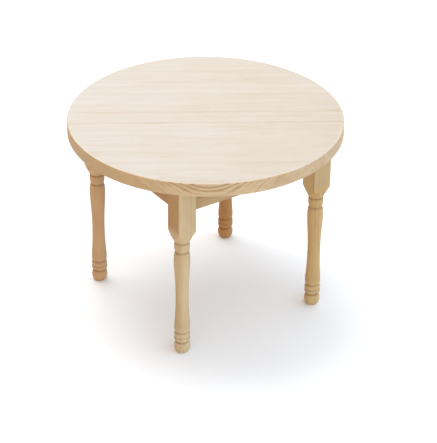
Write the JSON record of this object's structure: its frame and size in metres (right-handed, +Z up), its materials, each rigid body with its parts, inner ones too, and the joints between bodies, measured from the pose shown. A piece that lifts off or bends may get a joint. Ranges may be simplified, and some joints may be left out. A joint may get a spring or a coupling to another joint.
{
  "type": "miniature dining table",
  "caption": "Round dolls house dining table with a solid wood top, turned legs and straight aprons, for 1:12 scale rooms.",
  "frame": {"origin": "on the floor, under the middle of the tabletop", "axes": "+Z up through the middle of the top; X and Y run along the aprons"},
  "size_m": [0.1, 0.1, 0.0745],
  "materials": {
    "top_wood": "bare wood, fine sanded, pale cream with straight grain",
    "leg_wood": "bare turned wood, sanded, warm straw",
    "apron_wood": "bare planed wood, warm straw",
    "dowel_wood": "bare hardwood dowel"
  },
  "bodies": {
    "root": {"tabletop": "top_wood", "leg_front_left": "leg_wood", "leg_front_right": "leg_wood", "leg_back_left": "leg_wood", "leg_back_right": "leg_wood", "apron_front": "apron_wood", "apron_back": "apron_wood", "apron_left": "apron_wood", "apron_right": "apron_wood", "dowel_front_left": "dowel_wood", "dowel_front_right": "dowel_wood", "dowel_back_left": "dowel_wood", "dowel_back_right": "dowel_wood"}
  },
  "joints": []
}
